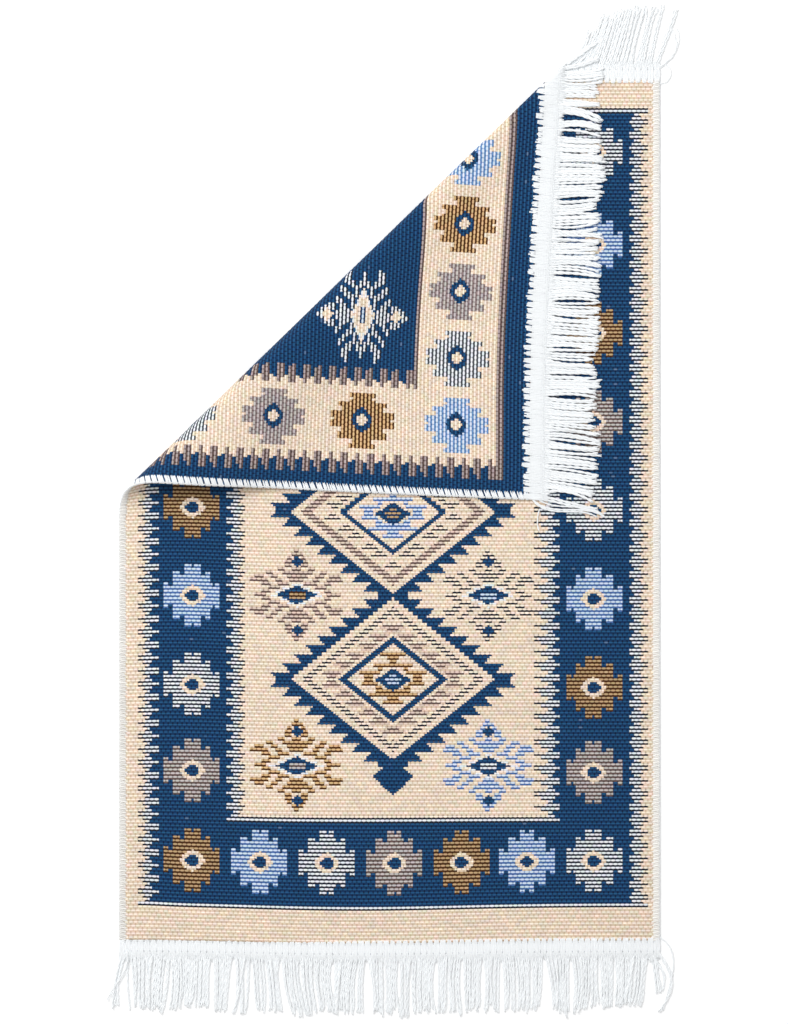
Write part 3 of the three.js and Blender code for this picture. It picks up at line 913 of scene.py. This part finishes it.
        stops = [((0, j + BLOCK), (0, j)) for j in range(0, self.halves, BLOCK)]
        stops += [((self.ribs, j), (self.ribs, j + BLOCK)) for j in range(0, self.halves, BLOCK)]
        stops += [((r, 0), (r + 1, 0)) for r in range(self.ribs)]
        stops += [((r + 1, self.halves), (r, self.halves)) for r in range(self.ribs)]
        for first, last in stops:
            corners = chain(upper, first, last) + chain(lower, last, first)
            rib = min(first[0], last[0], self.ribs - 1)
            block = min(min(first[1], last[1]) // BLOCK, codes.shape[1] - 1)
            faces.append([corner - self.shape.count for corner, _ in corners])
            places.append([place for _, place in corners])
            values.append(codes[rib, block])
        self.shape.add(np.zeros((0, 3)), faces, places, values)


# Sides of the tubes, points along a stitch, and the bare ends of the thread edges
THREAD_SIDES, RIM_SIDES, YARN_SIDES = 6, 7, 5
STITCH_STEPS = 7
END_MARGIN = mm(0.5)
# How thick the threads are on each face and along the rim, for their width
FRONT_SIZE, BACK_SIZE, RIM_SIZE = 1.08, 1.2, 0.85


class KILIM_OT_edges(bpy.types.Operator):
    """Wind the thread over both side edges: close stitches on the front, slanted open ones on the back"""

    bl_idname = "kilim.edges"
    bl_label = "Wind the edges"
    bl_options = {"REGISTER", "UNDO"}

    def execute(self, context):
        scene = context.scene
        self.cloth, self.sizes = scene.kilim_cloth, scene.kilim_edge
        self.fold = Fold(self.cloth)
        colours = scene.kilim_colours
        finish = yarn_finish("edge_thread", colours.thread, colours.fringe)
        for name, node, start, inward in (
            ("left_edge_thread", "side_serging_left", 0.0, 1),
            ("right_edge_thread", "side_serging_right", self.cloth.width, -1),
        ):
            rng = np.random.default_rng(11)
            shape = Shape()
            self.stitches(shape, start, inward, rng)
            finish_piece(shape.build(name, finish), node)
        return {"FINISHED"}

    def stitches(self, shape, start, inward, rng):
        sizes, cloth = self.sizes, self.cloth
        radius = sizes.thread_width / 2
        count = int(cloth.length / sizes.stitch)
        pitch = cloth.length / count
        top, bottom = cloth.thickness / 2 + mm(0.1), -cloth.thickness / 2 + radius * BACK_SIZE
        inner = cloth.edge_width - radius
        share = np.linspace(0, 1, STITCH_STEPS)

        # Close threads on the front, two for each rib: from the needle line over to the rim
        order = np.arange(2 * cloth.ribs)
        even = order % 2 == 0
        t0 = (order + 0.5) * cloth.length / len(order)
        ends = inner + rng.normal(0, mm(0.45), len(order)) + np.where(even, mm(0.5), -mm(0.4))
        s = ends[:, None] + (mm(0.8) - ends[:, None]) * share
        h = top - radius * 0.35 - (2 * share - 1) ** 4 * mm(0.9)
        t = t0[:, None] + sizes.slant * 0.35 * (share - 0.5)
        tones = np.where(even, 1.0, sizes.dull_tone) * (1 if inward < 0 else sizes.left_tone)
        looks = tones, 0
        self.wind(shape, start, inward, s, t, h + np.zeros_like(s), radius * FRONT_SIZE, looks, rng)

        # Open threes on the back, which lean the other way and reach further in
        inner = inner + sizes.back_reach
        for offset in sizes.thread_width * np.arange(3):
            t0 = np.arange(count) * pitch + offset + mm(1) + rng.normal(0, mm(0.2), count)
            s = np.broadcast_to(inner + (mm(0.1) - inner) * share, (count, len(share)))
            t = t0[:, None] + sizes.slant * share
            h = bottom + (2 * share - 1) ** 4 * mm(0.6) + np.zeros_like(s)
            self.wind(shape, start, inward, s, t, h, radius * BACK_SIZE, (np.ones(count), 1), rng)

        # The rim: two plies that wind round each other along the edge
        steps = count * 10
        t = np.linspace(END_MARGIN, cloth.length - END_MARGIN, steps)
        for phase in (0, math.pi):
            turn = 2 * math.pi * t / pitch + phase
            s = radius * 1.05 + radius * 0.35 * (1 + np.cos(turn))
            h = mm(0.3) + mm(0.6) * np.sin(turn)
            line = self.fold.place(start + inward * s, t, h)[None]
            values = np.array([[0.97, rng.random(), 0.5, 1]])
            reference = self.outward(start, inward, t)[None]
            add_tubes(shape, line, radius * RIM_SIZE, RIM_SIDES, reference, values)

    def outward(self, start, inward, t):
        """The direction square to the cloth along an edge."""
        s = start + inward * mm(2)
        return normalised(self.fold.place(s, t, mm(1)) - self.fold.place(s, t, 0))

    def wind(self, shape, start, inward, s, t, h, radius, looks, rng):
        """Threads of one kind, with their tones and how far they have the fringe's colour."""
        t = np.clip(t, END_MARGIN, self.cloth.length - END_MARGIN)
        place = start + inward * s
        lines = self.fold.place(place, t, h)
        reference = self.fold.place(place, t + mm(1), h) - lines
        values = np.ones((len(lines), 4))
        values[:, 0] = looks[0] * rng.uniform(0.9, 1.0, len(lines))
        values[:, 1] = rng.random(len(lines))
        values[:, 2] = looks[1]
        add_tubes(shape, lines, radius, THREAD_SIDES, reference, values)


# Heights of what a strand can rest on
ON_FLOOR, ON_STRANDS, ON_CLOTH, ON_HEADING = mm(0), mm(2.3), mm(3.3), mm(3.6)

# A lock of a fringe, in millimetres and degrees: it ends at "to" on the heading, aims at an angle
# from +X, draws its tips together by a share and bows sideways. One without length is a bare stretch.
Lock = namedtuple("Lock", "to aim gather bow length rest")


def lock_rows(rest, *rows):
    """Locks that rest on the same thing, from rows of their other columns."""
    return [Lock(*row, rest) for row in rows]


# The bottom fringe from the left
BOTTOM_LOCKS = (
    *lock_rows(ON_FLOOR,
        (9, -99, 0, -2, 55), (52, -91, 0.25, 0, 57), (69, -94, 0, 2, 60), (103, -93, 0.1, 0, 55),
        (127, -94, 0.14, 1, 58), (146, -92, 0.24, -1, 61), (159, -87, 0, 0, 59),
        (179, -85, 0.05, 0, 60), (200, -82, 0.1, -2, 63), (238, -85, 0.15, -2, 60),
        (274, -90, 0.19, -1, 62), (287, -87, 0.24, 0, 59), (325, -89, 0.15, 0, 61),
        (380, -90, 0.07, -1, 60), (423, -90, 0.12, 0, 59), (470, -90, 0.12, 1, 58),
        (488, -84, 0.24, 0, 58), (500, -90, 0.24, -1, 63), (521, -90, 0, 2, 59),
        (548, -88, 0.12, 1, 55), (560, -87, 0.1, 0, 56), (588, -93, 0.24, 0, 54), (596, -82, 0, 2, 42),
        (600, -89, 0, 13, 62),
    ),
)

# The top fringe from the corner that is folded over
TOP_LOCKS = (
    *lock_rows(ON_CLOTH,
        (6, -14, 0.1, 0, 61), (14, -4, 0.2, 4, 55), (24, -9, 0.25, 2, 53), (31, -7, 0, 1, 57),
        (39, -8, 0.1, 0, 59), (67, -5, 0.05, 0, 60), (80, -8, 0.1, 0, 59), (90, -5, 0.15, 1, 55),
        (108, -4, 0.1, 0, 53), (118, -3, 0.1, 0, 53), (140, -2, 0.08, 1, 57), (153, -4, 0.2, 1, 55),
        (171, -2, 0.12, -1, 53), (201, -3, 0.06, 0, 55), (213, -4, 0.15, 0, 56), (225, -1, 0.1, -1, 55),
        (243, 0, 0.1, 1, 55), (265, -5, 0.05, 2, 56), (272, -4, 0.2, 1, 53), (281, 0, 0.1, 0, 51),
        (302, 0, 0.08, 0, 53), (323, 2, 0.1, -1, 50), (339, 5, 0.1, -3, 49), (355, 1, 0.1, 0, 51),
        (380, 0, 0.06, 0, 52), (390, -1, 0.2, 1, 50), (410, -2, 0.1, -1, 47), (415, 0, 0, 0, 0),
        (425, -4, 0.1, 2, 47), (434, 0, 0, 0, 0), (443, -13, 0.1, 4, 45), (452, -5, 0.2, 1, 41),
        (466, 0, 0.06, 0, 39),
    ),
    *lock_rows(ON_HEADING,
        (484, 3, 0.1, 0, 46), (488, 13, 0, 0, 44),
    ),
    *lock_rows(ON_STRANDS,
        (493, 36, 0, 0, 42),
    ),
    *lock_rows(ON_FLOOR,
        (512, 59, 0, -4, 43), (530, 71, 0.1, -1, 57), (552, 74, 0.12, 0, 63), (572, 75, 0.12, 0, 65),
        (590, 76, 0.15, 1, 64), (597, 70, 0, 0, 64), (600, 69, 0, -13, 46),
    ),
)

# Strands that lie apart from the locks: places in millimetres from the rug's lower left corner
Loose = namedtuple("Loose", "places rest size")
BOTTOM_LOOSE = (
    Loose(((9, -11), (4, -38), (-4, -50), (-13, -66)), ON_STRANDS, 0.9),
    Loose(((585, -12), (597, -24), (604, -42), (602, -56)), ON_FLOOR, 0.9),
    Loose(((584, -12), (594, -26), (603, -34), (605, -44)), ON_FLOOR, 0.8),
    Loose(((598, 4), (611, -7), (614, -28), (611, -50), (603, -78)), ON_FLOOR, 0.8),
)
TOP_LOOSE = (
    Loose(((598, 966), (613, 980), (621, 1001), (616, 1014)), ON_FLOOR, 0.7),
    Loose(((600, 950), (611, 957), (611, 966), (600, 970)), ON_FLOOR, 0.6),
    Loose(((466, 478), (464, 468), (464, 460), (466, 453)), ON_CLOTH, 0.6),
    Loose(((458, 489), (466, 482), (477, 479), (507, 477), (540, 468)), ON_CLOTH, 0.9),
    Loose(((463, 490), (471, 485), (482, 482), (510, 480), (536, 472)), ON_CLOTH, 0.8),
    Loose(((460, 486), (468, 480), (479, 476), (508, 475), (530, 469)), ON_CLOTH, 0.8),
)
# Steps along a strand, and the height of its middle over what it rests on, in a lock and apart
STRAND_STEPS = 21
LOCK_MIDDLE, LOOSE_MIDDLE = mm(1.45), mm(1.5)

# Of a heading: yarns of a stitch, the turned-over part, where its front starts to cover the cloth and
# over what length, and how far out its stitches are drawn in, over what length
STITCH_YARNS = 4
TURNED_PART = mm(477)
COVER_START, COVER_REACH = mm(150), mm(120)
WAIST_AWAY, WAIST_LENGTH = mm(12.3), mm(1.3)
CHAIN_RADIUS, CORE_RADIUS, CORE_PITCH = mm(0.55), mm(1.15), mm(2.6)
# How far in from a heading's face a strand's root lies
ROOT_COVER = mm(1.7)


class KILIM_OT_fringes(bpy.types.Operator):
    """Stitch a heading to each end of the cloth and hang its twisted strands"""

    bl_idname = "kilim.fringes"
    bl_label = "Add the fringes"
    bl_options = {"REGISTER", "UNDO"}

    def execute(self, context):
        scene = context.scene
        self.cloth, self.sizes = scene.kilim_cloth, scene.kilim_fringe
        self.fold = Fold(self.cloth)
        finish = yarn_finish("fringe_yarn", scene.kilim_colours.fringe, scene.kilim_colours.fringe)
        for name, node, end, outward, locks, loose in (
            ("bottom_fringe", "fringe_bottom", 0.0, -1, BOTTOM_LOCKS, BOTTOM_LOOSE),
            ("top_fringe", "fringe_top", self.cloth.length, 1, TOP_LOCKS, TOP_LOOSE),
        ):
            rng = np.random.default_rng(23)
            shape = Shape()
            self.heading(shape, end, outward, rng)
            self.strands(shape, end, outward, locks, rng)
            self.loose_strands(shape, loose, rng)
            finish_piece(shape.build(name, finish), node)
        return {"FINISHED"}

    def faces(self):
        """Heights of the heading's two faces over the middle of the cloth."""
        lift = (self.sizes.heading_height - self.cloth.thickness) / 2
        return lift + self.sizes.heading_height / 2, lift - self.sizes.heading_height / 2

    def run(self, shape, end, outward, s, away, h, radius, tone_and_shade, rng):
        """Yarns of the heading, away from the cloth's end."""
        s = np.clip(s, RIM_INSET, self.cloth.width - RIM_INSET)
        s, away, h = np.broadcast_arrays(s, away, h)
        lines = self.fold.place(s, end + outward * away, h)
        normal = self.fold.place(s, end + outward * away, h + mm(1)) - lines
        lines[..., 2] = np.maximum(lines[..., 2], radius)
        values = np.ones((len(lines), 4))
        values[:, 0] = tone_and_shade * rng.uniform(0.97, 1.0, len(lines))
        values[:, 1] = rng.random(len(lines))
        add_tubes(shape, lines, radius, YARN_SIDES, normal, values)

    def heading(self, shape, end, outward, rng):
        sizes, cloth = self.sizes, self.cloth
        top, bottom = self.faces()
        last = sizes.gap + sizes.heading_width
        stitches = round(cloth.width / sizes.stitch)
        pitch = cloth.width / stitches
        order = np.arange(stitches * STITCH_YARNS)
        stitch = order // STITCH_YARNS
        middle = ((stitch + 0.5) * pitch)[:, None]
        spread = ((order % STITCH_YARNS - (STITCH_YARNS - 1) / 2) * pitch / STITCH_YARNS)[:, None]
        share = np.array((0, 0.08, 0.18, 0.3, 0.42, 0.54, 0.62, 0.7, 0.85, 1))
        radius = pitch / STITCH_YARNS / 2 * 1.3
        taper = np.array((1, 1, 1, 1, 1, 1, 1, 1, 0.9, 0.4))

        # Yarns of each stitch, which leave a narrow gap beside them on the cloth and lie close further out
        for side, tight in ((1, (0.3, 0.85)), (-1, (0.35, 0.8))):
            face = top - radius if side > 0 else bottom + radius
            if side > 0:
                cover = sizes.front_cover * np.clip((middle - COVER_START) / COVER_REACH, 0, 1)
            else:
                cover = sizes.back_cover + rng.normal(0, mm(1.1), stitches)[stitch][:, None]
            start = -cover + rng.normal(0, mm(0.3) if side > 0 else mm(0.8), len(order))[:, None]
            outer = last + rng.uniform(-mm(1), mm(6), len(order))[:, None]
            away = start + (outer - start) * share
            tightness = rng.uniform(*tight, stitches)[stitch][:, None]
            fan = np.minimum(1, tightness + (1 - tightness) * share * 3.2)
            if side > 0:
                waist = rng.uniform(0.1, 0.5, stitches)[stitch][:, None]
                fan = fan - waist * np.exp(-(((away - WAIST_AWAY) / WAIST_LENGTH) ** 2))
                lean = 0
            else:
                lean = mm(1.6) * (1 - share) + rng.normal(0, mm(0.5), stitches)[stitch][:, None] * (1 - share)
            turned = (end > 0) & (middle < TURNED_PART)
            lifted = (away < 0) & ((side > 0) | turned)
            over = np.where(lifted, mm(0.5), 0) * side
            dip = np.where((side < 0) & turned, mm(1.9), mm(0.9)) * side
            slope = np.clip((away - last + mm(5)) / mm(7), 0, 1) ** 2 * dip
            jitter = rng.normal(0, mm(0.1), len(order))[:, None]
            s = middle + spread * fan + lean + jitter
            tone_and_shade = 0.99 if side > 0 else 0.94
            self.run(shape, end, outward, s, away, face + over - slope, radius * taper, tone_and_shade, rng)

        # The chain that holds them shows on the back only
        loops = np.arange(stitches * 2)
        turn = np.linspace(0, 2 * math.pi, 9)
        length = cloth.width / len(loops)
        s = (loops[:, None] + 0.5) * length + np.cos(turn) * length * 0.62
        away = last - mm(3.4) + np.sin(turn) * mm(1.0)
        self.run(shape, end, outward, s, away, bottom + CHAIN_RADIUS, CHAIN_RADIUS, 0.98, rng)

        # The core, painted darker where it shows between the stitches, as the shade in those gaps
        s = np.linspace(mm(1.2), cloth.width - mm(1.2), 110)[None]
        rows = np.arange(sizes.gap + mm(1.4), last - mm(2), CORE_PITCH)
        for number, away in enumerate(rows):
            tone_and_shade = 0.66 if number in (0, 4) else 0.88
            self.run(shape, end, outward, s, away, (top + bottom) / 2, CORE_RADIUS, tone_and_shade, rng)

    def strands(self, shape, end, outward, locks, rng):
        """Two plies for each strand, along the lock's route from the heading to its tip."""
        sizes = self.sizes
        root_t = end + outward * (sizes.gap + sizes.heading_width - sizes.root_depth)
        top, bottom = self.faces()
        start = 0.0
        share = np.linspace(0, 1, STRAND_STEPS)
        belly = np.sin(math.pi * share**0.8)
        tip = np.clip((share - 0.75) / 0.25, 0, 1) ** 2
        down = np.clip(share / 0.2, 0, 1)
        down = down * down * (3 - 2 * down)
        for lock in locks:
            stop = mm(lock.to)
            if not lock.length:
                start = stop
                continue
            on_flap = lock.rest != ON_FLOOR
            count = max(1, round((stop - start) / sizes.strand_pitch))
            s = start + (stop - start) / count * (np.arange(count) + 0.5)
            under = bottom + ROOT_COVER if on_flap else top - ROOT_COVER
            roots = self.fold.place(s, np.full(count, root_t), np.full(count, under))
            bundle = np.cumsum(rng.random(count) < 1 / sizes.bundle)
            stray = rng.random(count) < 0.1

            def shared(spread):
                return rng.normal(0, spread, count + 1)[bundle]

            loose = 0.4 if on_flap else 1.0
            aim = math.radians(lock.aim) + shared(0.022 * loose) + rng.normal(0, 0.012, count)
            aim = aim + stray * rng.normal(0, 0.07, count)
            ahead = np.stack((np.cos(aim), np.sin(aim), np.zeros(count)), axis=-1)
            aside = np.stack((-np.sin(aim), np.cos(aim), np.zeros(count)), axis=-1)
            offset = ((roots - roots.mean(axis=0)) * aside).sum(axis=1)
            centre = (np.bincount(bundle, offset) / np.bincount(bundle).clip(1))[bundle]
            length = mm(lock.length) + sizes.root_depth + shared(mm(1.4)) + rng.normal(0, mm(1.6), count)
            bow = mm(lock.bow) + shared(mm(1.0)) + rng.normal(0, mm(0.4), count)
            drawn = rng.uniform(0.02, 0.16, count + 1)[bundle] * loose
            narrow = offset * 0.06 * loose + (offset - centre) * drawn
            drift = -(offset * lock.gather)[:, None] * share**2 - narrow[:, None] * belly
            drift = drift + bow[:, None] * np.sin(math.pi * share)
            drift = drift + rng.normal(0, mm(0.3), count)[:, None] * np.sin(3 * math.pi * share) * share
            drift = drift + rng.normal(0, mm(1.1), count)[:, None] * tip
            lines = roots[:, None] + ahead[:, None] * (length[:, None] * share)[..., None]
            lines = lines + aside[:, None] * drift[..., None]
            level = lock.rest + LOCK_MIDDLE + np.where(np.arange(count) % 2 == 0, 0, mm(0.5))
            level = level + stray * mm(1.4)
            lines[..., 2] = roots[:, None, 2] + (level[:, None] - roots[:, None, 2]) * down
            self.plies(shape, lines, length, share, rng, 1.15 if on_flap else 1.0)
            start = stop

    def loose_strands(self, shape, routes, rng):
        """Strands that lie apart, smooth through the places of their routes."""
        share = np.linspace(0, 1, STRAND_STEPS)
        for route in routes:
            places = mm(np.array(route.places))
            run = np.concatenate(([0], np.cumsum(np.linalg.norm(np.diff(places, axis=0), axis=1))))
            s, t = (np.polyval(np.polyfit(run / run[-1], places[:, axis], 3), share) for axis in (0, 1))
            x, y = RIGHT_EDGE - self.cloth.width + s, BOTTOM_END + t
            line = np.stack((x, y, np.full(len(share), route.rest + LOOSE_MIDDLE)), axis=-1)[None]
            self.plies(shape, line, np.array([run[-1]]), share, rng, route.size)

    def plies(self, shape, lines, length, share, rng, size):
        """Two plies that wind round each line, looser and thinner at its tip."""
        side, rise = sides_of(lines, UP)
        phase = rng.uniform(0, 2 * math.pi, len(lines))
        turn = phase[:, None] + 2 * math.pi * length[:, None] * share / self.sizes.twist
        spread = self.sizes.ply_spread * size * (1 + 0.5 * np.clip((share - 0.88) / 0.12, 0, 1))
        radius = self.sizes.ply_radius * size * (1 - 0.45 * np.clip((share - 0.9) / 0.1, 0, 1))
        for half_turn in (0, math.pi):
            angle = turn + half_turn
            around = side * np.cos(angle)[..., None] + rise * np.sin(angle)[..., None]
            centre = lines + around * spread[:, None]
            values = np.ones((len(lines), 4))
            values[:, 0] = rng.uniform(0.95, 1.0, len(lines))
            values[:, 1] = rng.random(len(lines))
            add_tubes(shape, centre, radius, YARN_SIDES, UP, values)


# In metres: how far the floor lies under the rug, and where the lamp is and how wide
FLOOR_DROP = mm(0.4)
LAMP_PLACE, LAMP_SIZE = (-1.1, 1.3, 2.6), 1.8


class KILIM_OT_stage(bpy.types.Operator):
    """Set the pale floor, the soft light and the camera straight over the rug"""

    bl_idname = "kilim.stage"
    bl_label = "Set the stage"
    bl_options = {"REGISTER", "UNDO"}

    def execute(self, context):
        stage = context.scene.kilim_stage
        cloth = context.scene.kilim_cloth
        bpy.ops.object.select_all(action="DESELECT")
        bpy.ops.mesh.primitive_plane_add(size=stage.floor_size, location=(0, 0, -FLOOR_DROP))
        floor = context.active_object
        floor.name = "floor"
        floor.data.materials.append(self.floor_finish(stage))

        middle_x = RIGHT_EDGE - cloth.width + stage.view_s
        middle_y = BOTTOM_END + stage.view_t
        bpy.ops.object.camera_add(location=(middle_x, middle_y, stage.camera_height), rotation=(0, 0, 0))
        camera = context.active_object
        camera.name = "overhead_camera"
        half_sensor = camera.data.sensor_width / 2
        camera.data.lens = half_sensor * stage.camera_height / (stage.view_height / 2)
        context.scene.camera = camera

        bpy.ops.object.light_add(type="AREA", location=LAMP_PLACE)
        lamp = context.active_object
        lamp.name = "soft_lamp"
        lamp.data.shape = "DISK"
        lamp.data.size = LAMP_SIZE
        lamp.data.energy = stage.lamp
        lamp.rotation_euler = lamp.location.to_track_quat("Z", "Y").to_euler()

        world = bpy.data.worlds.new("even_light")
        world.use_nodes = True
        background = world.node_tree.nodes["Background"]
        background.inputs["Color"].default_value = (1, 1, 1, 1)
        background.inputs["Strength"].default_value = stage.sky
        context.scene.world = world
        context.scene.view_settings.view_transform = "Standard"
        return {"FINISHED"}

    def floor_finish(self, stage):
        finish = Finish("pale_floor")
        place = finish.node("TexCoord", None, None, "Object")
        grain = finish.node("TexNoise", None, {"Vector": place, "Scale": 3.0, "Detail": 2.0})
        colour = finish.dimmed(tuple(stage.floor_colour), 0.99 + grain * 0.02)
        glow = {"Emission Color": (1, 1, 1, 1), "Emission Strength": 0.06}
        surface = finish.node("BsdfPrincipled", None, {"Base Color": colour, "Roughness": 0.9, **glow})
        finish.node_output(surface)
        return finish.material


class KILIM_PT_rug(bpy.types.Panel):
    """The rug's steps and sizes"""

    bl_idname = "KILIM_PT_rug"
    bl_label = "Kilim rug"
    bl_space_type = "VIEW_3D"
    bl_region_type = "UI"
    bl_category = "Kilim"

    def draw(self, context):
        layout = self.layout
        for operator, groups in STEPS:
            layout.operator(operator.bl_idname)
            for group in groups:
                settings = getattr(context.scene, group)
                for name in settings.__annotations__:
                    layout.prop(settings, name)


GROUPS = {
    "kilim_cloth": KILIM_PG_cloth,
    "kilim_colours": KILIM_PG_colours,
    "kilim_edge": KILIM_PG_edge,
    "kilim_fringe": KILIM_PG_fringe,
    "kilim_stage": KILIM_PG_stage,
}
STEPS = (
    (KILIM_OT_stage, ("kilim_stage",)),
    (KILIM_OT_cloth, ("kilim_cloth", "kilim_colours")),
    (KILIM_OT_edges, ("kilim_edge",)),
    (KILIM_OT_fringes, ("kilim_fringe",)),
)
CLASSES = (*GROUPS.values(), *(operator for operator, _ in STEPS), KILIM_PT_rug)


def register():
    for item in CLASSES:
        bpy.utils.register_class(item)
    for name, group in GROUPS.items():
        setattr(bpy.types.Scene, name, PointerProperty(type=group))


def unregister():
    for name in GROUPS:
        delattr(bpy.types.Scene, name)
    for item in reversed(CLASSES):
        bpy.utils.unregister_class(item)


def main():
    register()
    bpy.ops.kilim.stage()
    bpy.ops.kilim.cloth()
    bpy.ops.kilim.edges()
    bpy.ops.kilim.fringes()


if __name__ == "__main__":
    main()
